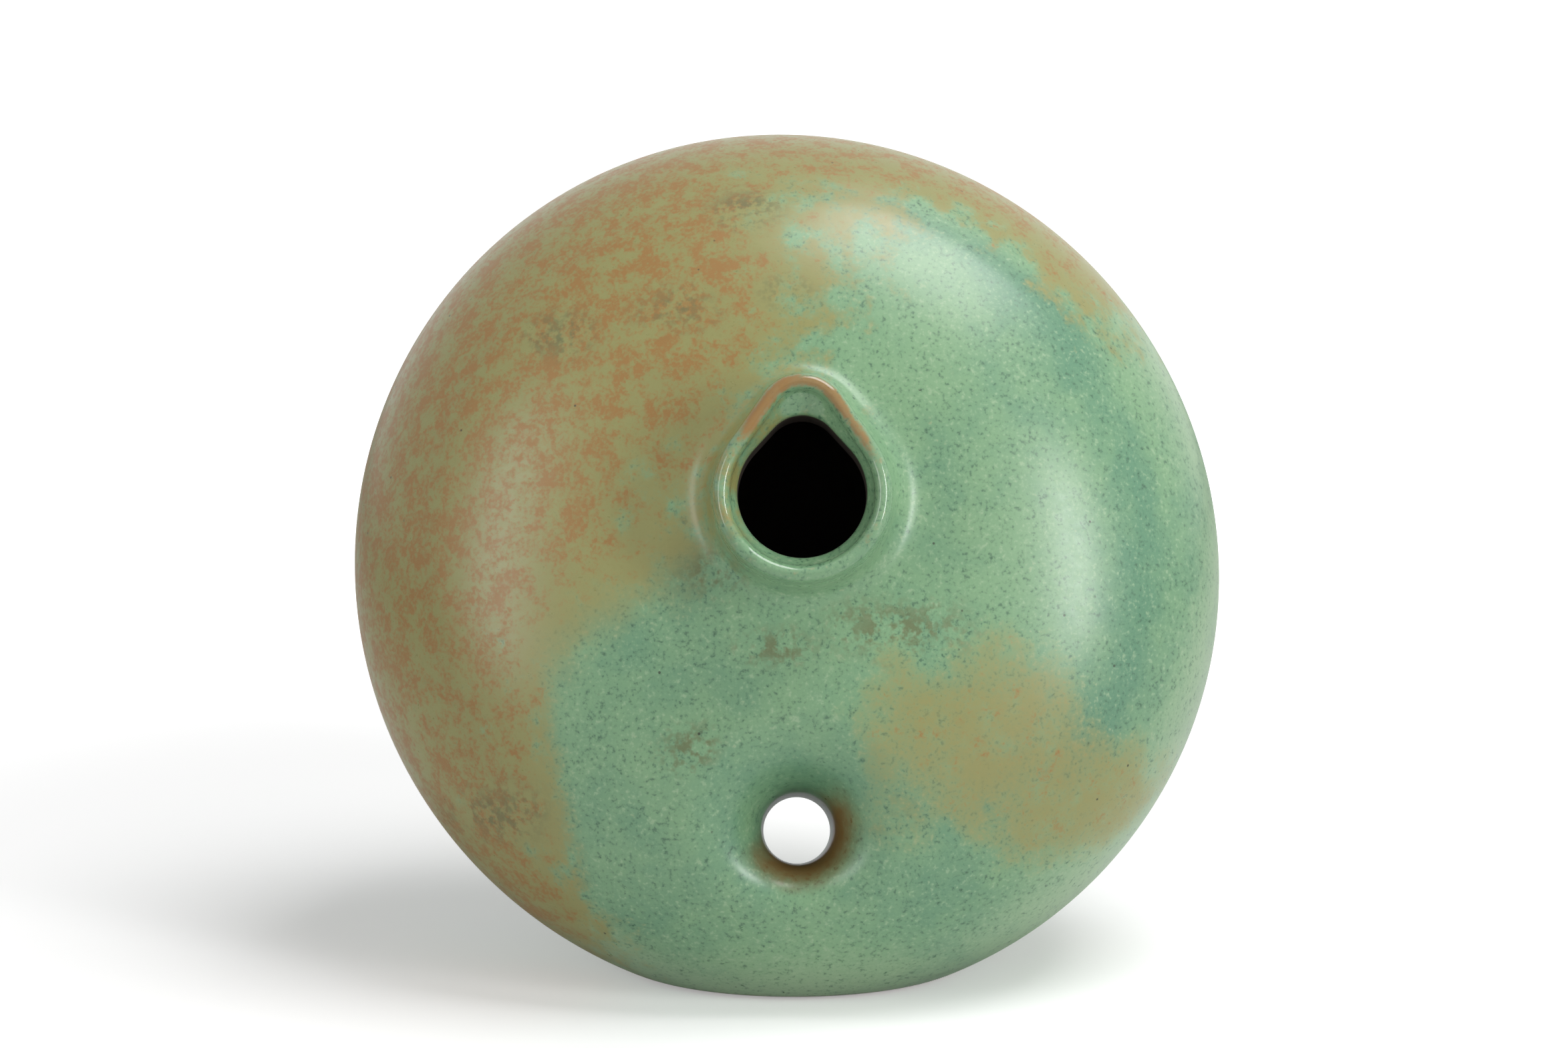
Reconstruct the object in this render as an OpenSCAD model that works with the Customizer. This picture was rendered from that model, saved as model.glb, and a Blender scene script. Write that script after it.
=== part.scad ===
// Round pilgrim flask of glazed stoneware, standing on a flattened edge and leaning back a little.
// Two cushion-shaped half shells are joined at a middle seam. A pouring neck stands on the front face, and a
// finger tube runs through the body below it.
// Millimetres, +Z up. The front face looks towards -Y. The origin is on the ground, under the body's middle.
// The disc frame is the body's own: its Z runs out of the front face along the neck, its Y runs up the disc.

/* [Body] */
// Width of the round body across the disc
body_width = 250; // [240:1:280]
// Thickness of the body from face to face
body_thickness = 150; // [140:1:180]
// Fullness of the cushion section, where 2 is an ellipse and more is squarer
fullness = 2.4; // [2.2:0.05:2.7]
// Thickness of the clay wall
wall = 6; // [4:0.5:8]
// Angle by which the body leans back from upright
lean = 15; // [12:0.5:17]

/* [Standing base] */
// Height by which the round underside is flattened
flat_rise = 11; // [9:0.5:13]
// Thickness of the slab that closes the flattened underside
slab_thickness = 6; // [4:0.5:7]

/* [Seam] */
// Width of the clay coil that backs the seam inside
coil_width = 14; // [10:0.5:18]
// Height that the coil stands off the inside wall
coil_height = 5; // [3:0.5:8]

/* [Neck] */
// Diameter of the throat bore that takes a stopper
neck_bore = 33; // [28:0.5:35]
// Height of the neck's axis above the disc's middle
neck_rise = 14.5; // [10:0.5:20]
// Shift of the neck's axis to the right
neck_shift = 4; // [0:0.5:8]
// Height of the lip above the middle of the front face
neck_height = 22; // [18:0.5:32]
// Length of the straight throat bore
throat_length = 13; // [8:0.5:14]
// Diameter of the flared foot, and of the hole in the front shell that it fills
neck_foot = 84; // [78:0.5:90]
// Height of the rounded edge of the lip
lip_round = 3; // [2:0.25:5]
// Radius of the round lower part of the lip, outside
lip_outer_big = 23.5; // [22.5:0.5:27]
// Radius of the pinched spout of the lip, outside
lip_outer_small = 12.7; // [11.5:0.1:14]
// Drop of the lip's round part below the neck's axis
lip_drop = 2; // [0:0.5:3]
// Rise of the lip's spout above the neck's axis
spout_rise = 17; // [14:0.5:20]
// Thickness of the lip between its inner and outer edges
lip_thickness = 4; // [3:0.25:4.5]

/* [Finger tube] */
// Diameter of the bore through the body
tube_bore = 20; // [16:0.5:22]
// Thickness of the tube's wall inside the body
tube_wall = 5; // [4:0.25:6]
// Depth of the tube's axis below the disc's middle
tube_drop = 75; // [70:0.5:76]
// Shift of the tube's axis to the right
tube_shift = 3; // [0:0.5:6]
// Radius of the wide funnel at the front, and of the hole in the front shell that it fills
front_funnel = 33; // [28:0.5:35]
// Depth of the front funnel below the face
front_dip = 26; // [20:0.5:32]
// Radius of the small funnel at the back, and of the hole in the back shell that it fills
back_funnel = 18; // [17.5:0.25:19]
// Depth of the back funnel below the face
back_dip = 10; // [6:0.5:14]

/* [Hidden] */
$fn = 96;

// Sides of the turned grids, and points along each of their curves
sides = 40;
curve_points = 7;
// Points along a quarter of the cushion section
section_points = 26;
// Step that keeps each true bore clear of the grid around it, and how far the grid stays inside the bore
bore_step = 0.4;
bore_cover = 1;
// Spare length of a cutting tool past what it cuts
spare = 1;

body_radius = body_width / 2;
half_thickness = body_thickness / 2;
// Half width of the body along a tilted direction follows the dual power of its section
dual_power = fullness / (fullness - 1);
middle_height = pow(pow(body_radius * cos(lean), dual_power)
    + pow(half_thickness * sin(lean), dual_power), 1 / dual_power) - flat_rise;

// The throat starts level with the front face, and the mouth flares from its end up to the lip
lip_height = half_thickness + neck_height;
throat_low = half_thickness;
throat_top = throat_low + throat_length;
tube_radius = tube_bore / 2 + tube_wall;
front_throat = face_height(tube_drop) - front_dip;
back_throat = face_height(tube_drop) - back_dip;

// Height of the cushion's face above the middle plane at a distance from its centre, moved in by an inset
function face_height(distance, inset = 0) =
    (half_thickness - inset) * pow(1 - pow(min(distance / (body_radius - inset), 1), fullness), 1 / fullness);

// Height of the face at a place given by an axis, a direction and a distance from that axis
function height_near(axis, angle, distance, inset = 0) =
    face_height(norm([axis.x + distance * cos(angle), axis.y + distance * sin(angle)]), inset);

// Distance from the axis to an egg-shaped outline: two circles and the two straight lines that touch both.
// big and small are the radii, low and high the heights of the two centres, seen in the given direction.
function egg(angle, big, small, low, high) =
    let (
        climb = (big - small) / (high - low),
        across = sqrt(1 - climb * climb),
        side = asin(sin(angle)),
        line_start = atan2(low + big * climb, big * across),
        line_end = atan2(high + small * climb, small * across)
    )
    side < line_start ? low * sin(side) + sqrt(big * big - pow(low * cos(side), 2))
    : side > line_end ? high * sin(side) + sqrt(small * small - pow(high * cos(side), 2))
    : (big + low * climb) / (cos(side) * across + sin(side) * climb);

function lip_outer(angle) = egg(angle, lip_outer_big, lip_outer_small, -lip_drop, spout_rise);
function lip_inner(angle) =
    egg(angle, lip_outer_big - lip_thickness, lip_outer_small - lip_thickness, -lip_drop, spout_rise);

// Angles that step along a quarter turn
function quarter(from, to) = [for (k = [0 : curve_points - 1]) from + (to - from) * k / (curve_points - 1)];

// Closed grid: one loop of [distance, height] points in each direction around an axis
module turned_grid(axis, loops) {
    around = len(loops);
    along = len(loops[0]);
    points = [for (i = [0 : around - 1], p = loops[i])
        [axis.x + p[0] * cos(360 * i / around), axis.y + p[0] * sin(360 * i / around), p[1]]];
    faces = [for (i = [0 : around - 1], k = [0 : along - 1], half = [0, 1])
        let (
            here = i * along,
            next = ((i + 1) % around) * along,
            up = (k + 1) % along
        )
        half == 0 ? [here + k, here + up, next + up] : [here + k, next + up, next + k]];
    polyhedron(points = points, faces = faces, convexity = 8);
}

// Section of the cushion from an angle at the rim side up to its pole, moved in by an inset.
// Zero starts at the rim, for the front half alone, and -90 starts at the back pole, for the whole cushion.
module section(inset, from = -90) {
    steps = section_points * (90 - from) / 90;
    polygon(concat(
        from < 0 ? [] : [[0, 0]],
        [for (k = [0 : steps])
            let (t = from + 90 * k / section_points)
            [(body_radius - inset) * pow(cos(t), 2 / fullness),
                sign(t) * (half_thickness - inset) * pow(abs(sin(t)), 2 / fullness)]]
    ));
}

// Puts the disc frame into the world: leaning back, above the ground
module placed() {
    translate([0, 0, middle_height]) rotate([90 - lean, 0, 0]) children();
}

// Everything below a height, as a cutting block
module ground_block(height) {
    translate([-body_width, -body_width, height - body_width]) cube([2 * body_width, 2 * body_width, body_width]);
}

module hole(x, y, radius) {
    translate([x, y, -spare]) cylinder(r = radius, h = half_thickness + 2 * spare);
}

// Half of the hollow body, open at the seam plane
module half_shell() {
    difference() {
        rotate_extrude() section(0, 0);
        rotate_extrude() section(wall);
    }
}

module front_shell() {
    color("darkseagreen") difference() {
        placed() difference() {
            half_shell();
            hole(neck_shift, neck_rise, neck_foot / 2);
            hole(tube_shift, -tube_drop, front_funnel);
        }
        ground_block(slab_thickness);
    }
}

module back_shell() {
    color("cadetblue") difference() {
        placed() mirror([0, 0, 1]) difference() {
            half_shell();
            hole(tube_shift, -tube_drop, back_funnel);
        }
        ground_block(slab_thickness);
    }
}

// Half-round coil pressed onto the inside of the seam, standing on the slab at its lower end
module seam_coil() {
    color("tan") difference() {
        placed() rotate_extrude() intersection() {
            translate([body_radius - wall, 0]) coil_section();
            section(wall);
        }
        ground_block(slab_thickness);
    }
}

// Section of the coil: a lens made of two equal arcs, as wide as the coil and twice as deep as it stands off
module coil_section() {
    arc_radius = (coil_width * coil_width / 4 + coil_height * coil_height) / (2 * coil_height);
    intersection() {
        translate([arc_radius - coil_height, 0]) circle(arc_radius);
        translate([coil_height - arc_radius, 0]) circle(arc_radius);
    }
}

module base_slab() {
    color("sienna") difference() {
        placed() rotate_extrude() section(0);
        ground_block(0);
        translate([-body_width, -body_width, slab_thickness]) cube(2 * body_width);
    }
}

// Loop of the neck in one direction: foot, concave flank, rounded lip, flared mouth, throat and underside
function neck_loop(angle) =
    let (
        axis = [neck_shift, neck_rise],
        foot = neck_foot / 2,
        throat = neck_bore / 2 + bore_step,
        shoulder = lip_height - lip_round,
        outside = lip_outer(angle),
        inside = lip_inner(angle),
        middle = (outside + inside) / 2,
        rounding = (outside - inside) / 2,
        top_foot = height_near(axis, angle, foot),
        under_foot = height_near(axis, angle, foot, wall)
    )
    concat(
        [for (t = quarter(0, 90)) [foot - (foot - outside) * sin(t), shoulder - (shoulder - top_foot) * cos(t)]],
        [for (t = [30 : 30 : 180]) [middle + rounding * cos(t), shoulder + lip_round * sin(t)]],
        [for (t = [30, 60, 90]) [throat + (inside - throat) * cos(t), shoulder - (shoulder - throat_top) * sin(t)]],
        [[neck_bore / 2 - bore_cover, throat_top], [neck_bore / 2 - bore_cover, throat_low]],
        [for (t = quarter(90, 0)) [foot - (foot - throat) * sin(t), throat_low - (throat_low - under_foot) * cos(t)]]
    );

module neck() {
    color("mediumaquamarine") placed() difference() {
        turned_grid([neck_shift, neck_rise], [for (i = [0 : sides - 1]) neck_loop(360 * i / sides)]);
        translate([neck_shift, neck_rise, 0]) cylinder(d = neck_bore, h = lip_height + spare);
    }
}

// Curve of a funnel in one direction, from the throat's edge to the rim on the face
function funnel_curve(angle, throat, throat_height, rim, inset, angles) =
    [for (t = angles)
        let (distance = throat + (rim - throat) * (1 - cos(t)))
        [distance, throat_height
            + (height_near([tube_shift, -tube_drop], angle, distance, inset) - throat_height) * sin(t)]];

function flipped(curve) = [for (p = curve) [p[0], -p[1]]];

// Loop of the finger tube in one direction: front funnel, bore, back funnel, and the outside within the body
function tube_loop(angle) =
    let (
        throat = tube_bore / 2 + bore_step,
        cover = tube_bore / 2 - bore_cover,
        outside_front = front_throat - wall,
        outside_back = back_throat - wall
    )
    concat(
        funnel_curve(angle, throat, front_throat, front_funnel, 0, quarter(90, 0)),
        [[cover, front_throat], [cover, -back_throat]],
        flipped(funnel_curve(angle, throat, back_throat, back_funnel, 0, quarter(0, 90))),
        flipped(funnel_curve(angle, tube_radius, outside_back, back_funnel, wall, quarter(90, 0))),
        funnel_curve(angle, tube_radius, outside_front, front_funnel, wall, quarter(0, 90))
    );

module finger_tube() {
    color("peru") placed() difference() {
        turned_grid([tube_shift, -tube_drop], [for (i = [0 : sides - 1]) tube_loop(360 * i / sides)]);
        translate([tube_shift, -tube_drop, -half_thickness]) cylinder(d = tube_bore, h = body_thickness);
    }
}

front_shell();
back_shell();
seam_coil();
base_slab();
neck();
finger_tube();
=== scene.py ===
"""Round pilgrim flask of mottled green stoneware, leaning back a little on its flattened edge.

Metres, +Z up. The front face looks towards -Y. The disc frame is the body's own: its third axis runs out of
the front face along the neck, its second runs up the disc, and its first is the world's X.
"""
import math

import bmesh
import bpy
import numpy as np
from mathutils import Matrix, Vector


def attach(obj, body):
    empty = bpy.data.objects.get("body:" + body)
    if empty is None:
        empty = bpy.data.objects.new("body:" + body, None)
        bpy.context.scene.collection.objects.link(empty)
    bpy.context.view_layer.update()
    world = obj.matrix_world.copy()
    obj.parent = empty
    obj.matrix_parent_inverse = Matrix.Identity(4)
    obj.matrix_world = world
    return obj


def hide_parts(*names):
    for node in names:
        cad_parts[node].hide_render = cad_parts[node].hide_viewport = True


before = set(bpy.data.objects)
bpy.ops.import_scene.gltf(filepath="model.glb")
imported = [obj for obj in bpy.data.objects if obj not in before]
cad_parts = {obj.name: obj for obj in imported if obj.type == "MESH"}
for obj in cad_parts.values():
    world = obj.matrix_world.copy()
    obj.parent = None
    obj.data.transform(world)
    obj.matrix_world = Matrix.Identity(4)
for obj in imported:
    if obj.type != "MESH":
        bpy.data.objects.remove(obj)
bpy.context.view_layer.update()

# Body, as in the frame
BODY_RADIUS = 0.125
HALF_THICKNESS = 0.075
FULLNESS = 2.4
WALL = 0.006
LEAN = math.radians(15)
FLAT_RISE = 0.011
SLAB_TOP = 0.006
DUAL_POWER = FULLNESS / (FULLNESS - 1)
MIDDLE_HEIGHT = ((BODY_RADIUS * math.cos(LEAN)) ** DUAL_POWER
                 + (HALF_THICKNESS * math.sin(LEAN)) ** DUAL_POWER) ** (1 / DUAL_POWER) - FLAT_RISE

# The potter's small errors. The shares are of the distance from the middle, the rest is in metres
OVAL_MEAN = -0.0095
OVAL_SWING = 0.0088
OVAL_LONG_WAY = math.radians(123)
LOBES = 5
LOBE_SWING = 0.0005
OVAL_GROWS = (0.060, 0.115)
SHOULDER_DROP = 0.0005
SHOULDER_GROWS = (0.096, 0.104)
SEAM_BAND = (0.004, 0.020)
LANDING_SOFTNESS = 0.0022

# Neck
NECK_AXIS = (0.004, 0.0145)
NECK_FOOT = 0.042
FLANK_POWER = 2.4
LIP_HEIGHT = HALF_THICKNESS + 0.022
LIP_ROUND = 0.003
LIP_BIG = 0.0235
LIP_SMALL = 0.0127
LIP_LOW = -0.002
LIP_HIGH = 0.017
LIP_THICKNESS = 0.0045
THROAT_BIG = 0.0171
THROAT_SMALL = 0.0100
THROAT_DROP = -0.0015
THROAT_RISE = 0.0090
THROAT_TOP = HALF_THICKNESS + 0.013

# The neck's glaze thins upwards round the lip and towards the flank's top, and ends low in the mouth, where
# the bare clay is painted near black as shade
UPPER_SIDE = (0.2, 1.0)
FLANK_THINS = (1.25, 1.57)
THIN_FLANK = 0.35
THIN_LIP = 0.3
MOUTH_BARE = (0.80, 1.0)

# Finger tube
TUBE_AXIS = (0.003, -0.075)
TUBE_BORE = 0.010
TUBE_WALL = 0.005
FRONT_FUNNEL = 0.033
FRONT_DIP = 0.026
BACK_FUNNEL = 0.018
BACK_DIP = 0.010

# Points round a full turn, and the rows of each surface
AROUND = 288
TURN = np.pi / 2 + 2 * np.pi * np.arange(AROUND) / AROUND
FRONT_ROWS = 72
BACK_ROWS = 110
SLAB_ROWS = 260
RING_ROWS = 18
FLANK_ROWS = 40
LIP_ROWS = 24
MOUTH_ROWS = 18
THROAT_ROWS = 8
UNDER_NECK_ROWS = 20
FUNNEL_ROWS = 44
BORE_ROWS = 24
TUBE_OUTSIDE_ROWS = 16

# Window in the front shell's grid that rings round the tube fill: rays each side of the lowest, and its rows
WINDOW_RAYS = round(AROUND * 34 / 360)
WINDOW_TOP = round(FRONT_ROWS * 0.045)
WINDOW_BOTTOM = round(FRONT_ROWS * 0.70)

# Surfaces smooth over up to this angle between faces
SHARP_ANGLE = math.radians(35)


def face_height(across, up, inset=0.0):
    """Cushion section: the half thickness times (1 - (distance / radius) ** fullness) ** (1 / fullness)."""
    share = np.clip(np.hypot(across, up) / (BODY_RADIUS - inset), 0, 1)
    return (HALF_THICKNESS - inset) * (1 - share ** FULLNESS) ** (1 / FULLNESS)


def spread(points, inset=0.0):
    """Disc points moved so that their distance is arcsin(share ** (fullness / 2)), scaled to 1 at the rim."""
    distance = np.linalg.norm(points, axis=-1, keepdims=True)
    share = np.clip(distance / (BODY_RADIUS - inset), 0, 1)
    return points / np.maximum(distance, 1e-9) * np.arcsin(share ** (FULLNESS / 2)) * 2 / np.pi


def rolled(flat, inset=0.0):
    """The reverse of spread. Distance and height go with the angle's sine and cosine ** (2 / fullness)."""
    angle = np.minimum(np.linalg.norm(flat, axis=-1, keepdims=True), 1) * np.pi / 2
    distance = (BODY_RADIUS - inset) * np.sin(angle) ** (2 / FULLNESS)
    height = (HALF_THICKNESS - inset) * np.clip(np.cos(angle), 0, 1) ** (2 / FULLNESS)
    return np.concatenate([flat / np.maximum(angle * 2 / np.pi, 1e-9) * distance, height], axis=-1)


def circle(centre, radius, turn=TURN):
    """Points of the disc at a distance from a centre, one in each direction."""
    return np.stack([centre[0] + radius * np.cos(turn), centre[1] + radius * np.sin(turn)], axis=-1)


def smooth(values, low, high):
    """Rises from 0 at low to 1 at high with level ends."""
    share = np.clip((values - low) / (high - low), 0, 1)
    return share * share * (3 - 2 * share)


def column(first, last, count):
    """Even values for the rows of a grid, stood in a column so that they meet a value for each direction."""
    return np.linspace(first, last, count)[:, None]


def egg(big, small, low, high):
    """Distance from the axis to two circles, centred at low and high, and the lines that touch both."""
    climb = (big - small) / (high - low)
    across = math.sqrt(1 - climb * climb)
    side = np.arcsin(np.sin(TURN))
    line_start = math.atan2(low + big * climb, big * across)
    line_end = math.atan2(high + small * climb, small * across)
    lower = low * np.sin(side) + np.sqrt(big ** 2 - (low * np.cos(side)) ** 2)
    upper = high * np.sin(side) + np.sqrt(np.maximum(small ** 2 - (high * np.cos(side)) ** 2, 0))
    line = (big + low * climb) / (np.cos(side) * across + np.sin(side) * climb)
    return np.where(side < line_start, lower, np.where(side > line_end, upper, line))


def handmade(points):
    """A slightly oval disc that keeps inside the true circle, and a faint step down outside the shoulder."""
    across, up, out = points[:, 0], points[:, 1], points[:, 2]
    distance = np.hypot(across, up)
    angle = np.arctan2(up, across)
    oval = OVAL_MEAN + OVAL_SWING * np.cos(2 * (angle - OVAL_LONG_WAY)) - LOBE_SWING * np.sin(LOBES * angle)
    scale = 1 + oval * smooth(distance, *OVAL_GROWS)
    step = -SHOULDER_DROP * smooth(distance, *SHOULDER_GROWS) * np.sign(out) * smooth(np.abs(out), *SEAM_BAND)
    return np.stack([across * scale, up * scale, out + step], axis=-1)


def placed(points):
    """Disc frame to world, and a soft landing: whatever is below the ground is pressed flat onto it."""
    across, up, out = handmade(points).T
    depth = up * math.sin(LEAN) - out * math.cos(LEAN)
    height = MIDDLE_HEIGHT + up * math.cos(LEAN) + out * math.sin(LEAN)
    pressed = np.maximum(height + LANDING_SOFTNESS, 0) ** 2 / (4 * LANDING_SOFTNESS)
    return np.stack([across, depth, np.where(height > LANDING_SOFTNESS, height, pressed)], axis=-1)


def numbered(rows, columns, start=0):
    """Grid of point numbers."""
    return start + np.arange(rows * columns).reshape(rows, columns)


def cells(numbers, closed=False):
    """Four-cornered faces of a grid whose rows are loops. Closed also joins its last row to its first."""
    if closed:
        numbers = np.vstack([numbers, numbers[:1]])
    numbers = np.hstack([numbers, numbers[:, :1]])
    corners = [numbers[:-1, :-1], numbers[1:, :-1], numbers[1:, 1:], numbers[:-1, 1:]]
    return np.stack(corners, axis=-1).reshape(-1, 4)


def cut_level(shape, keeps_above):
    """Cuts the mesh at the slab's top, keeps what is above or below, and closes the cut."""
    parts = shape.verts[:] + shape.edges[:] + shape.faces[:]
    cut = bmesh.ops.bisect_plane(shape, geom=parts, dist=1e-7, plane_co=(0, 0, SLAB_TOP), plane_no=(0, 0, 1),
                                 clear_inner=keeps_above, clear_outer=not keeps_above)
    edges = [part for part in cut["geom_cut"] if isinstance(part, bmesh.types.BMEdge)]
    bmesh.ops.holes_fill(shape, edges=edges, sides=0)


def piece(name, points, faces, clay=0.0, thin=0.0, keep="all"):
    """Mesh of disc-frame points. Clay and thin say how bare and how thin its glaze is at each point."""
    mesh = bpy.data.meshes.new(name)
    mesh.from_pydata(placed(points), [], faces.tolist())
    for label, values in (("clay", clay), ("thin", thin)):
        attribute = mesh.attributes.new(label, "FLOAT", "POINT")
        attribute.data.foreach_set("value", np.full(len(points), values, dtype=np.float32))
    shape = bmesh.new()
    shape.from_mesh(mesh)
    if keep != "all":
        cut_level(shape, keep == "above")
    bmesh.ops.recalc_face_normals(shape, faces=shape.faces[:])
    shape.to_mesh(mesh)
    shape.free()
    mesh.polygons.foreach_set("use_smooth", np.ones(len(mesh.polygons), dtype=bool))
    mesh.set_sharp_from_angle(angle=SHARP_ANGLE)
    made = bpy.data.objects.new(name, mesh)
    bpy.context.scene.collection.objects.link(made)
    return made


def walled(face, openings, faces):
    """Closed wall: the outer face and the same grid moved in by the wall, joined along each open loop."""
    outer = face(0.0)
    inner = face(WALL)
    count = len(outer)
    strips = [cells(np.stack([loop, loop + count])) for loop in openings]
    points = np.concatenate([outer, inner])
    clay = np.concatenate([np.zeros(count), np.ones(count)])
    return points, np.concatenate([faces, faces[:, ::-1] + count, *strips]), clay


def front_shell():
    """Rays from the neck's foot to the rim. Rings to the tube's rim fill a window of their cells."""
    numbers = numbered(FRONT_ROWS + 1, AROUND)
    left = AROUND // 2 - WINDOW_RAYS
    right = AROUND // 2 + WINDOW_RAYS
    loop = np.concatenate([numbers[WINDOW_TOP, left:right], numbers[WINDOW_TOP:WINDOW_BOTTOM, right],
                           numbers[WINDOW_BOTTOM, right:left:-1], numbers[WINDOW_BOTTOM:WINDOW_TOP:-1, left]])
    rings = np.vstack([loop, numbered(RING_ROWS, len(loop), numbers.size)])

    def face(inset):
        """The rays' points and the rings' points, spaced evenly on the unrolled disc and rolled up again."""
        outward = np.linspace(0, 1, FRONT_ROWS + 1)[:, None, None]
        foot = spread(circle(NECK_AXIS, NECK_FOOT), inset)
        rays = (foot * (1 - outward) + circle((0, 0), 1) * outward).reshape(-1, 2)
        edge = rays[loop]
        real = rolled(edge, inset)[:, :2]
        turn = np.arctan2(real[:, 1] - TUBE_AXIS[1], real[:, 0] - TUBE_AXIS[0])
        rim = spread(circle(TUBE_AXIS, FRONT_FUNNEL, turn), inset)
        inward = np.linspace(0, 1, RING_ROWS + 1)[1:, None, None]
        return rolled(np.concatenate([rays, (edge * (1 - inward) + rim * inward).reshape(-1, 2)]), inset)

    kept = np.ones((FRONT_ROWS, AROUND), dtype=bool)
    kept[WINDOW_TOP:WINDOW_BOTTOM, left:right] = False
    faces = np.concatenate([cells(numbers)[kept.reshape(-1)], cells(rings)])
    return piece("front_body", *walled(face, [numbers[0], numbers[-1], rings[-1]], faces), keep="above")


def back_shell():
    """Rays from the tube's back rim to the seam, mirrored to the back."""
    numbers = numbered(BACK_ROWS + 1, AROUND)

    def face(inset):
        """The rays' points, spaced evenly on the unrolled disc and rolled up again."""
        outward = np.linspace(0, 1, BACK_ROWS + 1)[:, None, None]
        rim = spread(circle(TUBE_AXIS, BACK_FUNNEL), inset)
        rays = rim * (1 - outward) + circle((0, 0), 1) * outward
        return rolled(rays.reshape(-1, 2), inset) * (1, 1, -1)

    return piece("back_body", *walled(face, [numbers[0], numbers[-1]], cells(numbers)), keep="above")


def looped(axis, distance, height):
    """Points of loops round an axis, from their distances and heights."""
    return np.concatenate([circle(axis, distance), (height + 0 * TURN)[:, :, None]], axis=-1).reshape(-1, 3)


def base_slab():
    """The whole cushion from back to front, pressed onto the ground and cut level at the slab's top."""
    tilt = column(-np.pi / 2, np.pi / 2, SLAB_ROWS)
    distance = BODY_RADIUS * np.abs(np.cos(tilt)) ** (2 / FULLNESS)
    height = HALF_THICKNESS * np.sign(tilt) * np.abs(np.sin(tilt)) ** (2 / FULLNESS)
    faces = cells(numbered(SLAB_ROWS, AROUND))
    return piece("foot_slab", looped((0, 0), distance, height), faces, keep="below")


def loops(distance, height, clay=0.0, thin=0.0):
    """One stretch of a turned piece: its values for each row and each direction."""
    return np.broadcast_arrays(distance, height, clay, thin, TURN)[:4]


def turned(name, axis, stretches):
    """Piece whose stretches of loops follow one another round a closed section."""
    distance, height, clay, thin = (np.concatenate(values) for values in zip(*stretches))
    faces = cells(numbered(*distance.shape), closed=True)
    return piece(name, looped(axis, distance, height), faces, clay.reshape(-1), thin.reshape(-1))


def near(axis, distance, inset=0.0):
    """Height of the face at a distance from an axis, in every direction."""
    return face_height(axis[0] + distance * np.cos(TURN), axis[1] + distance * np.sin(TURN), inset)


def neck():
    """Flank that leaves the face level and climbs to the egg-shaped lip, round lip, flared mouth, throat.

    The flank's distance follows a sine from the foot to the lip, and its lift a power of 1 - cosine.
    """
    outside = egg(LIP_BIG, LIP_SMALL, LIP_LOW, LIP_HIGH)
    inside = egg(LIP_BIG - LIP_THICKNESS, LIP_SMALL - LIP_THICKNESS, LIP_LOW, LIP_HIGH)
    throat = egg(THROAT_BIG, THROAT_SMALL, THROAT_DROP, THROAT_RISE)
    shoulder = LIP_HEIGHT - LIP_ROUND
    upward = smooth(np.sin(TURN), *UPPER_SIDE)

    climb = column(0, np.pi / 2, FLANK_ROWS)[:-1]
    distance = NECK_FOOT - (NECK_FOOT - outside) * np.sin(climb)
    lift = (shoulder - near(NECK_AXIS, outside)) * (1 - np.cos(climb)) ** FLANK_POWER
    flank_thin = THIN_FLANK * smooth(climb, *FLANK_THINS) * upward
    flank = loops(distance, near(NECK_AXIS, distance) + lift, thin=flank_thin)

    over = column(0, np.pi, LIP_ROWS)
    lip_thin = np.sin(over) ** 2 * (THIN_LIP + (1 - THIN_LIP) * upward)
    lip = loops((outside + inside) / 2 + (outside - inside) / 2 * np.cos(over),
                shoulder + LIP_ROUND * np.sin(over), thin=lip_thin)

    down = column(0, 1, MOUTH_ROWS)[1:]
    mouth = loops(throat + (inside - throat) * (1 + np.cos(np.pi * down)) / 2,
                  shoulder - (shoulder - THROAT_TOP) * down, smooth(down, *MOUTH_BARE))
    bore = loops(throat, column(THROAT_TOP, HALF_THICKNESS, THROAT_ROWS)[1:], 1.0)

    back = column(np.pi / 2, 0, UNDER_NECK_ROWS)[1:]
    under = near(NECK_AXIS, NECK_FOOT, WALL)
    underside = loops(NECK_FOOT - (NECK_FOOT - throat) * np.sin(back),
                      HALF_THICKNESS - (HALF_THICKNESS - under) * np.cos(back), 1.0)
    return turned("pouring_neck", NECK_AXIS, [flank, lip, mouth, bore, underside])


def funnel(throat, throat_height, rim, angles, side=1, inset=0.0, clay=0.0):
    """Quarter ellipse from the throat's edge to the rim, where it meets the face. Side -1 is the back."""
    distance = throat + (rim - throat) * (1 - np.cos(angles))
    rise = near(TUBE_AXIS, distance, inset) - throat_height
    return loops(distance, side * (throat_height + rise * np.sin(angles)), clay)


def finger_tube():
    """Front funnel, bore and back funnel, and the outside of the tube within the body."""
    level = face_height(0.0, TUBE_AXIS[1])
    front = level - FRONT_DIP
    back = level - BACK_DIP
    outer = TUBE_BORE + TUBE_WALL
    fine = column(0, np.pi / 2, FUNNEL_ROWS)
    coarse = column(0, np.pi / 2, TUBE_OUTSIDE_ROWS)
    return turned("finger_tube_lining", TUBE_AXIS, [
        funnel(TUBE_BORE, front, FRONT_FUNNEL, fine[::-1]),
        loops(TUBE_BORE, column(front, -back, BORE_ROWS)[1:-1]),
        funnel(TUBE_BORE, back, BACK_FUNNEL, fine, side=-1),
        funnel(outer, back - WALL, BACK_FUNNEL, coarse[::-1], side=-1, inset=WALL, clay=1.0),
        funnel(outer, front - WALL, FRONT_FUNNEL, coarse, inset=WALL, clay=1.0)])


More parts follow.
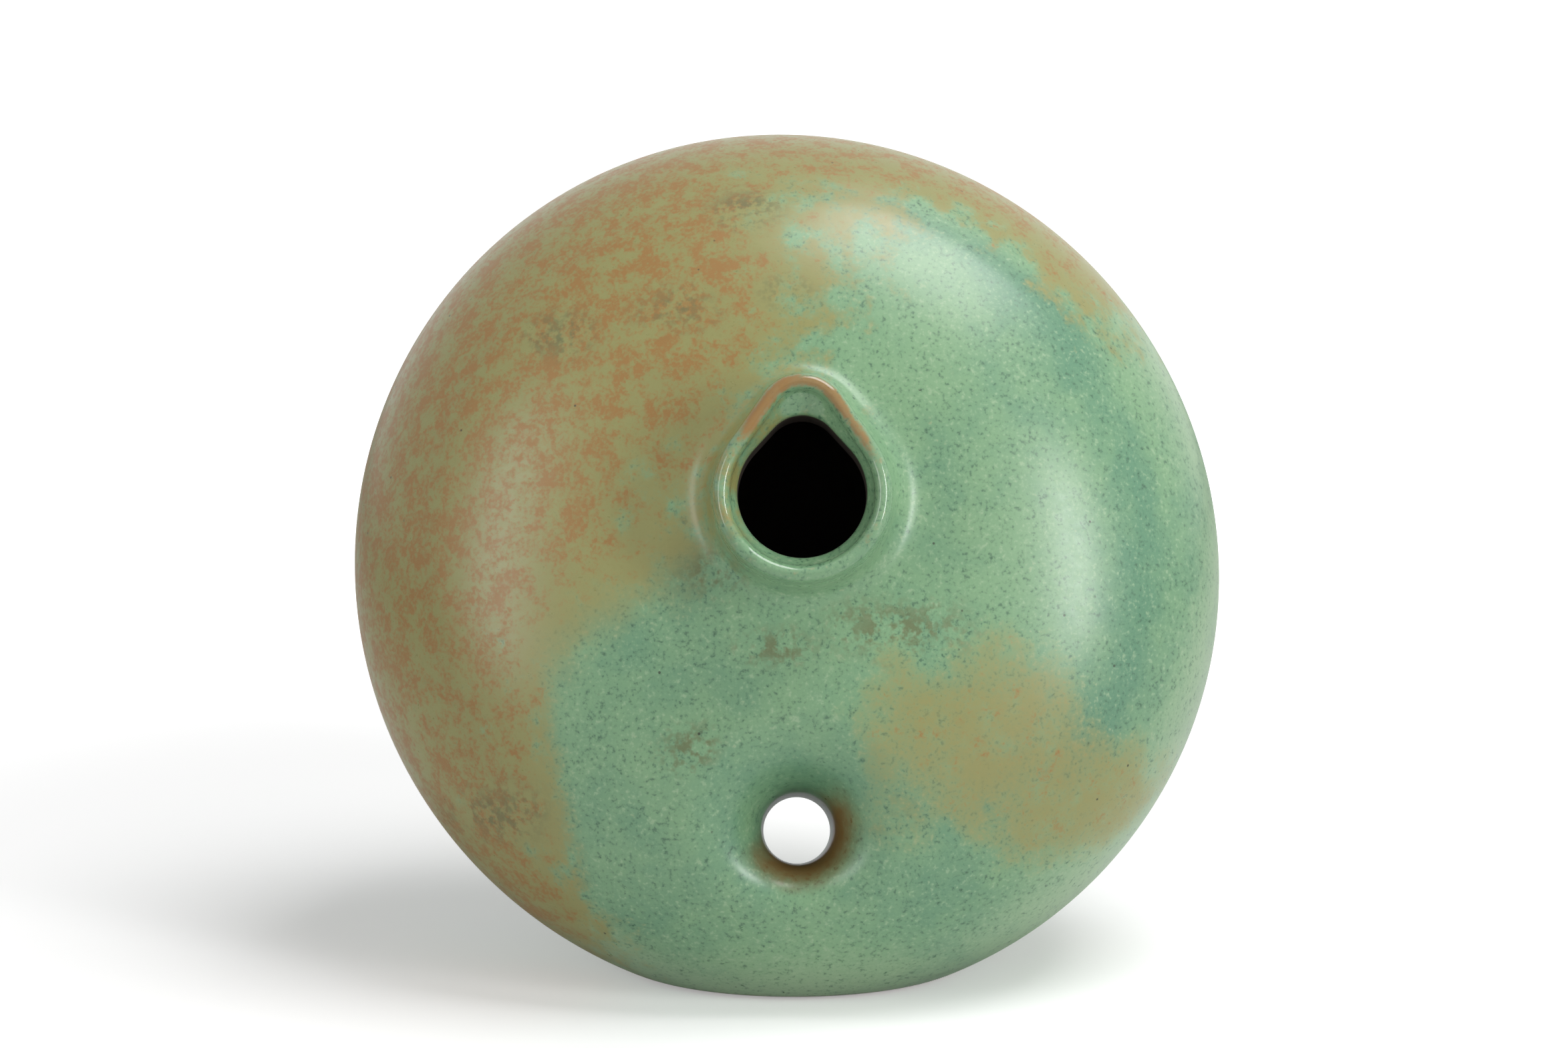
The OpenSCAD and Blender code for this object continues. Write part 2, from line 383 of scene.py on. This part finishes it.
def node(tree, kind, settings=None, values=(), output=0):
    """Adds a node: its settings first, then its sockets' values or links. Returns one of its outputs."""
    made = tree.nodes.new(kind)
    for name, value in (settings or {}).items():
        setattr(made, name, value)
    for place, value in (values.items() if isinstance(values, dict) else enumerate(values)):
        if isinstance(value, Field):
            tree.links.new(value.socket, made.inputs[place])
        else:
            made.inputs[place].default_value = value
    return Field(tree, made.outputs[output]) if made.outputs else None


def cleared(owner):
    """Empty node tree of a material or a world."""
    owner.use_nodes = True
    owner.node_tree.nodes.clear()
    return owner.node_tree


class Field:
    """A node's output. Arithmetic on it adds the Math nodes that work it out."""

    def __init__(self, tree, socket):
        self.tree = tree
        self.socket = socket

    def math(self, operation, *values):
        """One Math node."""
        return node(self.tree, "ShaderNodeMath", {"operation": operation}, values)

    def __add__(self, other):
        return self.math("ADD", self, other)

    def __sub__(self, other):
        return self.math("SUBTRACT", self, other)

    def __rsub__(self, other):
        return self.math("SUBTRACT", other, self)

    def __mul__(self, other):
        return self.math("MULTIPLY", self, other)

    def __truediv__(self, other):
        return self.math("DIVIDE", self, other)

    def __pow__(self, other):
        return self.math("POWER", self, other)

    __radd__ = __add__
    __rmul__ = __mul__

    def larger(self, other):
        """The larger of the two."""
        return self.math("MAXIMUM", self, other)

    def step(self, low, high):
        """0 below low, 1 above high, and smooth between."""
        return node(self.tree, "ShaderNodeMapRange", {"interpolation_type": "SMOOTHSTEP"},
                    {"Value": self, "From Min": low, "From Max": high})

    def capped(self):
        """Kept between 0 and 1."""
        return node(self.tree, "ShaderNodeClamp", None, [self])


def length(across, up):
    """Straight distance of a step across and up."""
    return (across * across + up * up) ** 0.5


class Finish:
    """A material being made."""

    def __init__(self, name):
        self.material = bpy.data.materials.new(name)
        self.tree = cleared(self.material)
        self.place = self.node("ShaderNodeTexCoord", output="Object")

    def node(self, kind, settings=None, values=(), output=0):
        """A node of this material."""
        return node(self.tree, kind, settings, values, output)

    def noise(self, millimetres, detail, roughness, shift=0.0):
        """Noise whose marks are about this size. A shift gives another pattern."""
        moved = self.node("ShaderNodeVectorMath", {"operation": "ADD"}, [self.place, (shift, shift, -shift)])
        return self.node("ShaderNodeTexNoise", None, {"Vector": moved, "Scale": 1000.0 / millimetres,
                                                      "Detail": detail, "Roughness": roughness})

    def mixed(self, factor, first, second):
        """The first colour where the factor is 0 and the second where it is 1."""
        colours = [(*colour, 1.0) if isinstance(colour, tuple) else colour for colour in (first, second)]
        # Of the node's sockets, 0 is the factor, 6 and 7 are the colours, and output 2 is their mix
        return self.node("ShaderNodeMix", {"data_type": "RGBA"}, {0: factor, 6: colours[0], 7: colours[1]}, 2)

    def attribute(self, name):
        """The piece's own value of this name at each point."""
        return self.node("ShaderNodeAttribute", {"attribute_name": name}, output="Fac")

    def fired(self, colour, roughness, relief, strength, depth):
        """Ends the material with its surface, and returns it."""
        bump = self.node("ShaderNodeBump", None, {"Strength": strength, "Distance": depth, "Height": relief})
        surface = {"Base Color": colour, "Roughness": roughness, "Normal": bump}
        self.node("ShaderNodeOutputMaterial", None, [self.node("ShaderNodeBsdfPrincipled", None, surface)])
        return self.material


# Colours of the glaze and the clay
LEAF = (0.185, 0.330, 0.180)
POOL = (0.105, 0.240, 0.145)
PALE = (0.310, 0.430, 0.270)
TAN = (0.265, 0.240, 0.080)
RUST = (0.280, 0.125, 0.030)
OLIVE = (0.115, 0.125, 0.050)
AMBER = (0.190, 0.075, 0.014)
DEEP = (0.045, 0.105, 0.065)
PINHOLE = (0.020, 0.020, 0.012)
# Bare clay inside is painted near black, far darker than the foot's clay: partly painted shade of the dark
# inside
INSIDE_CLAY_AND_SHADE = (0.020, 0.012, 0.008)
INNER_CLAY = (0.050, 0.032, 0.022)
FOOT_CLAY = (0.300, 0.190, 0.120)

# Sizes of the marks in millimetres
GRAIN = 1.1
GRIT = 2.3
BLOTCH = 6.0
PATCH = 9.0
BACK_CLOUD = 38.0
CLOUD = 45.0
CLAY_SAND = 0.8
CLAY_CLOUD = 30.0
PINHOLES_PER_METRE = 95.0

# Bands by distance from the middle of the disc, in millimetres: where each starts to grow or fade, and ends
CROWN_GROWS = (96.0, 110.0)
LEFT_RIM_GROWS = (98.0, 116.0)
POOL_FADES = (104.0, 118.0)
CRESCENT_GROWS = (84.0, 98.0)
CRESCENT_FADES = (99.0, 106.0)
PALE_RIM_GROWS = (102.0, 122.0)

# The same by distance from the tube's and the neck's axis, by height out of the disc, and above the ground
AMBER_FADES = (11.0, 19.0)
TUBE_PAINTED_SHADE_FADES = (12.0, 30.0)
LIP_GLOSS_FADES = (34.0, 38.0)
LIP_GLOSS_GROWS = (82.0, 93.0)
FRONT_GROWS = (-25.0, 5.0)
AMBER_GROWS = (0.0, 30.0)
WIPED_FADES = (0.5, 1.4)

# Patches on the disc in millimetres: centre across and up, half sizes, and for iron its strength
IRON_PATCHES = [((58.0, -55.0), (52.0, 36.0), 0.62), ((30.0, -72.0), (22.0, 18.0), 0.35)]
# Stains. The first three, just below the neck, also stand for the neck's shade, so they are partly painted
# shade
STAINS_AND_NECK_SHADE = [((-22.0, -7.0), (13.0, 9.0)), ((32.0, -22.0), (20.0, 9.0)), ((-4.0, -27.0), (12.0, 6.0)),
          ((-62.0, 58.0), (13.0, 9.0)), ((-30.0, 66.0), (16.0, 10.0)), ((0.0, 70.0), (10.0, 6.0)),
          ((-14.0, 94.0), (12.0, 7.0)), ((-78.0, -72.0), (18.0, 12.0)), ((-26.0, -54.0), (10.0, 8.0))]
PATCH_EDGE = (0.35, 1.15)
STAIN_AND_SHADE_EDGE = (0.2, 1.3)

# Roughness of the satin body, and how much smoother the lip and rougher the bare clay is
SATIN = 0.31
LIP_SMOOTHER = 0.20
CLAY_ROUGHER = 0.4
CLAY_ROUGHNESS = 0.85

# Strength of the fine relief, and its depth in metres
GLAZE_RELIEF = (0.30, 0.00012)
CLAY_RELIEF = (0.5, 0.0002)


class Glaze(Finish):
    """Copper green glaze, mottled with rust and speckled. Its masks are made of its noises and distances."""

    def __init__(self, name):
        super().__init__(name)
        middle = (0.0, 0.0, MIDDLE_HEIGHT)
        self.centred = self.node("ShaderNodeVectorMath", {"operation": "SUBTRACT"}, [self.place, middle])
        self.across = self.along((1.0, 0.0, 0.0))
        self.up = self.along((0.0, math.sin(LEAN), math.cos(LEAN)))
        self.out = self.along((0.0, -math.cos(LEAN), math.sin(LEAN)))
        self.distance = length(self.across, self.up)
        self.facing = self.out.step(*FRONT_GROWS)
        self.grain = self.noise(GRAIN, 2.0, 0.6)
        self.grit = self.noise(GRIT, 2.0, 0.6, 0.31)
        self.patch = self.noise(PATCH, 4.0, 0.62, 0.57)
        self.cloud = self.noise(CLOUD, 4.0, 0.55, 0.83)
        self.wisp = (self.cloud - 0.5) * 2.3 + (self.patch - 0.5) * 1.5
        self.grains = (self.grain - 0.5) * 0.9 + (self.grit - 0.5) * 0.5

    def along(self, direction):
        """Millimetres from the body's middle along a direction."""
        dot = {"operation": "DOT_PRODUCT"}
        return self.node("ShaderNodeVectorMath", dot, [self.centred, direction], "Value") * 1000.0

    def from_axis(self, axis):
        """Millimetres across, up and straight from an axis of the disc frame."""
        across = self.across - axis[0] * 1000
        up = self.up - axis[1] * 1000
        return across, up, length(across, up)

    def spot(self, centre, size, ragged, edge):
        """1 inside an ellipse on the disc, fading to 0 outside it, with a ragged edge."""
        distance = length((self.across - centre[0]) / size[0], (self.up - centre[1]) / size[1])
        return 1.0 - (distance + ragged).step(*edge)

    def pool(self):
        """Green pool at the lower left: right of a slanting line, below a ragged top, and off the rim."""
        beside = (self.across + self.up * 0.33 + 86.0 + self.wisp * 14.0).step(0.0, 14.0)
        below = (self.across * 0.35 - self.up + self.wisp * 34.0 + self.grains * 10.0).step(-16.0, 34.0)
        return beside * below * (1.0 - self.distance.step(*POOL_FADES))

    def iron(self):
        """Where iron shows: on the left, round the top and the left rim, and in patches at the lower right.

        It is the largest of those, less in the green pool, and on the back it comes in clouds instead.
        """
        leftward = (self.across * -0.0105 + self.up * 0.0050 + self.wisp * 0.55 + 0.26).step(0.0, 1.0)
        upper = (self.up - self.across * 0.35 + self.wisp * 30.0).step(-10.0, 75.0)
        crown = (self.distance + self.wisp * 9.0).step(*CROWN_GROWS) * upper
        far_left = (self.wisp * 25.0 - self.across).step(20.0, 80.0)
        left_rim = (self.distance + self.wisp * 8.0).step(*LEFT_RIM_GROWS) * far_left
        iron = (leftward * 0.92).larger(crown * 0.85).larger(left_rim * 0.9) * (1.0 - self.pool() * 0.93)
        for centre, size, strength in IRON_PATCHES:
            iron = iron.larger(self.spot(centre, size, self.wisp * 0.8, PATCH_EDGE) * strength)
        behind = self.noise(BACK_CLOUD, 4.0, 0.6, 1.7).step(0.45, 0.72) * 0.75
        return iron * self.facing + behind * (1.0 - self.facing)

    def greens(self):
        """Leaf green, deeper in clouds and in a crescent inside the right shoulder, pale at the rim."""
        ring = self.distance.step(*CRESCENT_GROWS) * (1.0 - self.distance.step(*CRESCENT_FADES))
        crescent = ring * (self.across + self.up * 0.45).step(30.0, 80.0)
        depth = (self.cloud + (self.patch - 0.5) * 0.5 + crescent * 0.20).step(0.35, 0.85)
        rim_light = self.distance.step(*PALE_RIM_GROWS) * 0.55
        light = (rim_light + (self.grit - 0.5) * 0.4 - (self.cloud - 0.5) * 0.7).step(0.0, 1.0)
        green = self.mixed(light, self.mixed(depth, LEAF, POOL), PALE)
        green = self.mixed((self.grains * -1.0).step(0.03, 0.26) * 0.72, green, DEEP)
        return self.mixed(self.grains.step(0.04, 0.26) * 0.60, green, PALE)

    def rusty(self, colour, iron, rust):
        """Tan where iron shows, and rust where it is strongest."""
        tan = (iron + (self.patch - 0.5) * 0.75 + self.grains * 0.45).step(0.18, 0.72)
        return self.mixed(rust * 0.80, self.mixed(tan * 0.88, colour, TAN), RUST)

    def stained_and_shaded(self, colour):
        """Olive stains on the face, strongest below the neck, where they are also painted shade that the neck
        casts.
        """
        patchiness = (self.patch + (self.grit - 0.5) * 0.9).step(0.42, 0.66)
        for centre, size in STAINS_AND_NECK_SHADE:
            stain_and_shade = self.spot(centre, size, self.wisp * 0.9, STAIN_AND_SHADE_EDGE) * patchiness * self.facing
            colour = self.mixed(stain_and_shade * 0.80, colour, OLIVE)
        return colour

    def round_tube(self, colour):
        """Amber where the glaze thins at the tube's throat, right and below, and painted shade above it in
        pool green.
        """
        across, up, distance = self.from_axis(TUBE_AXIS)
        halo = (1.0 - (distance + (self.grit - 0.5) * 3.0).step(*AMBER_FADES)) * self.out.step(*AMBER_GROWS)
        sided = (across * 0.6 - up * 0.8 + self.wisp * 8.0).step(-6.0, 6.0)
        # Painted shade: pool green mixed in above the tube, where the face turns down into it
        above = (1.0 - distance.step(*TUBE_PAINTED_SHADE_FADES)) * up.step(2.0, 16.0) * self.facing
        return self.mixed(above * 0.45, self.mixed(halo * sided * 0.85, colour, AMBER), POOL)

    def broken(self, colour):
        """Thin glaze breaks to rust on the lip."""
        thin = self.attribute("thin") + (self.patch - 0.5) * 1.2 + self.grains * 0.7
        return self.mixed(thin.step(0.25, 0.85) * 0.8, colour, RUST)

    def pinholes(self):
        """1 in small round pits where the patches are strong."""
        pits = self.node("ShaderNodeTexVoronoi", None, {"Vector": self.place, "Scale": PINHOLES_PER_METRE})
        return (1.0 - pits.step(0.025, 0.050)) * self.patch.step(0.46, 0.56)

    def lip(self):
        """1 on the lip, where the glaze is glossy."""
        return self.out.step(*LIP_GLOSS_GROWS) * (1.0 - self.from_axis(NECK_AXIS)[2].step(*LIP_GLOSS_FADES))

    def wiped(self):
        """1 on the standing face, which is wiped bare."""
        height = self.node("ShaderNodeSeparateXYZ", None, [self.place], "Z") * 1000.0
        return 1.0 - height.step(*WIPED_FADES)


def glaze_finish(name, wiped=False):
    """The glaze, satin on the body and glossy on the lip, bare inside with the clay painted near black as
    shade, and, where it is wiped, underneath.
    """
    glaze = Glaze(name)
    iron = glaze.iron()
    rust = (iron + (glaze.noise(BLOTCH, 4.0, 0.65, 2.3) - 0.5) * 1.35 + glaze.grains).step(0.70, 1.15)
    pin = glaze.pinholes()
    clay = glaze.attribute("clay")
    lip = glaze.lip()
    colour = glaze.rusty(glaze.greens(), iron, rust)
    colour = glaze.round_tube(glaze.stained_and_shaded(colour))
    colour = glaze.mixed(pin * 0.85, glaze.broken(colour), PINHOLE)
    # Bare inside: the near-black clay colour there is partly painted shade
    colour = glaze.mixed(clay, colour, INSIDE_CLAY_AND_SHADE)
    if wiped:
        colour = glaze.mixed(glaze.wiped(), colour, FOOT_CLAY)
    unevenness = (glaze.grit - 0.5) * (0.16 - lip * 0.12)
    roughness = SATIN - lip * LIP_SMOOTHER + unevenness + rust * 0.05 + clay * CLAY_ROUGHER
    relief = glaze.grain * 0.35 + glaze.grit * 0.45 + glaze.patch * 0.6 - pin * 0.5
    return glaze.fired(colour, roughness, relief, *GLAZE_RELIEF)


def clay_finish(name):
    """Bare stoneware, painted near black as shade inside: fine sandy grain and toasted clouds."""
    clay = Finish(name)
    sand = clay.noise(CLAY_SAND, 2.0, 0.6, 0.4)
    toasted = (clay.noise(CLAY_CLOUD, 4.0, 0.6) + (sand - 0.5) * 0.8).step(0.3, 0.7)
    return clay.fired(clay.mixed(toasted, INSIDE_CLAY_AND_SHADE, INNER_CLAY), CLAY_ROUGHNESS, sand, *CLAY_RELIEF)


def dress():
    """Makes the pieces, gives each its finish, puts it under the root and hides the frame's part that it
    stands for.
    """
    body_glaze = glaze_finish("mottled_glaze")
    rows = [(front_shell(), body_glaze, "front_shell", "mottled_green_glaze"),
            (back_shell(), body_glaze, "back_shell", "mottled_green_glaze"),
            (neck(), glaze_finish("neck_glaze"), "neck", "neck_glaze"),
            (finger_tube(), glaze_finish("tube_glaze"), "finger_tube", "tube_glaze"),
            (base_slab(), glaze_finish("foot_glaze", wiped=True), "base_slab", "foot_clay")]
    for made, finish, stands_for, slot in rows:
        made.data.materials.append(finish)
        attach(made, "root")
        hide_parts(stands_for)
    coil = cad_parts["seam_coil"]
    coil.data.materials.clear()
    coil.data.materials.append(clay_finish("inner_clay"))


# Camera
LENS = 85.0
CAMERA_AIM = Vector((-0.0008, 0.0, 0.1255))
CAMERA_DISTANCE = 1.061
CAMERA_ELEVATION = math.radians(10)

# Soft boxes: degrees round to the right of the camera's side, degrees up, distance, width and height, power
LAMPS = {"key": (50, 14, 1.5, (0.25, 0.75), 10),
         "fill": (-50, 14, 1.5, (0.45, 1.1), 6),
         "top": (70, 68, 1.4, (0.8, 0.8), 15)}
LAMP_AIM = Vector((0.0, 0.0, 0.11))
WORLD_LIGHT = 0.22

# Floor: half its side, the distances over which it fades, and how much of white it adds near the flask
FLOOR_REACH = 14.0
FLOOR_FADES = (0.25, 0.75)
FLOOR_LIFT = 0.30
FLOOR_COLOUR = (0.85, 0.85, 0.85, 1)
WHITE = (1, 1, 1, 1)


def aimed(thing, place, target):
    """Puts a camera or a lamp at a place and turns it towards the target."""
    thing.location = place
    thing.rotation_euler = (target - place).to_track_quat("-Z", "Y").to_euler()
    bpy.context.scene.collection.objects.link(thing)
    return thing


def camera():
    """Camera in front of the flask, a little above it."""
    data = bpy.data.cameras.new("camera")
    data.lens = LENS
    data.clip_start = 0.01
    back = Vector((0, -math.cos(CAMERA_ELEVATION), math.sin(CAMERA_ELEVATION))) * CAMERA_DISTANCE
    bpy.context.scene.camera = aimed(bpy.data.objects.new("camera", data), CAMERA_AIM + back, CAMERA_AIM)


def lamp(name, azimuth, elevation, distance, size, power):
    """Rectangular soft box that looks at the body. Azimuth 0 is the camera's side, positive to the right."""
    data = bpy.data.lights.new(name, "AREA")
    data.shape = "RECTANGLE"
    data.size, data.size_y = size
    data.energy = power
    turn, rise = math.radians(azimuth), math.radians(elevation)
    place = Vector((math.sin(turn) * math.cos(rise), -math.cos(turn) * math.cos(rise), math.sin(rise)))
    aimed(bpy.data.objects.new(name, data), place * distance + LAMP_AIM, LAMP_AIM)


def seen(tree):
    """1 for the rays that show the background: straight from the camera, mirrored or through glass."""
    rays = [node(tree, "ShaderNodeLightPath", output=name)
            for name in ("Is Camera Ray", "Is Glossy Ray", "Is Transmission Ray")]
    return (rays[0] + rays[1] + rays[2]).capped()


def white_world():
    """White backdrop that lights the flask only a little."""
    world = bpy.data.worlds.new("studio")
    bpy.context.scene.world = world
    tree = cleared(world)
    strength = WORLD_LIGHT + seen(tree) * (1.0 - WORLD_LIGHT)
    backdrop = node(tree, "ShaderNodeBackground", None, {"Color": WHITE, "Strength": strength})
    node(tree, "ShaderNodeOutputWorld", None, [backdrop])


def pale_floor():
    """White table top. Near the flask it shows the shadow, and further off it fades into the backdrop."""
    mesh = bpy.data.meshes.new("floor")
    corners = [(across * FLOOR_REACH, along * FLOOR_REACH, 0)
               for across, along in ((-1, -1), (1, -1), (1, 1), (-1, 1))]
    mesh.from_pydata(corners, [], [(0, 1, 2, 3)])
    floor = bpy.data.objects.new("floor", mesh)
    bpy.context.scene.collection.objects.link(floor)
    material = bpy.data.materials.new("floor")
    mesh.materials.append(material)
    tree = cleared(material)
    place = node(tree, "ShaderNodeTexCoord", output="Object")
    distance = node(tree, "ShaderNodeVectorMath", {"operation": "LENGTH"}, [place], "Value")
    lift = FLOOR_LIFT + distance.step(*FLOOR_FADES) * (1.0 - FLOOR_LIFT)
    lifted = node(tree, "ShaderNodeLightPath", output="Is Camera Ray") * lift
    surface = node(tree, "ShaderNodeBsdfDiffuse", None, {"Color": FLOOR_COLOUR})
    glow = node(tree, "ShaderNodeEmission", None, {"Color": WHITE, "Strength": lifted})
    both = node(tree, "ShaderNodeAddShader", None, [surface, glow])
    node(tree, "ShaderNodeOutputMaterial", None, [both])


dress()
camera()
white_world()
pale_floor()
for name, values in LAMPS.items():
    lamp(name, *values)
bpy.context.scene.view_settings.view_transform = "Standard"
